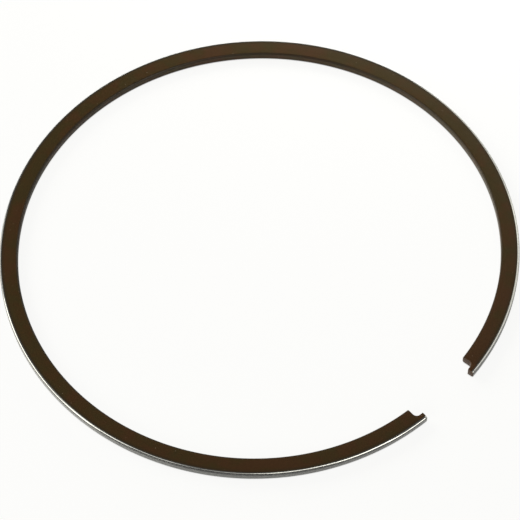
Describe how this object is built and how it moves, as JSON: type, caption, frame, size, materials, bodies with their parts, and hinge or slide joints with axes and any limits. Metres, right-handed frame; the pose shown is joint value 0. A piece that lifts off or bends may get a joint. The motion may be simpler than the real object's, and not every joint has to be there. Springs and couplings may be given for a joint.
{
  "type": "piston ring",
  "caption": "Split piston ring of a two-stroke engine, free and sprung open, with bevelled edges, a bright running face and a notch at each end for the locating pin.",
  "frame": {"origin": "Middle of the free ring's box, on its lower side face", "axes": "+X from the back of the ring towards the gap between its ends, +Y across the ring, parallel to the width of the gap, +Z along the ring's axis, up from the lower side face"},
  "size_m": [0.0554, 0.0566, 0.001],
  "materials": {
    "phosphated_iron": "satin"
  },
  "bodies": {
    "root": {"piston_ring": "phosphated_iron"}
  },
  "joints": []
}
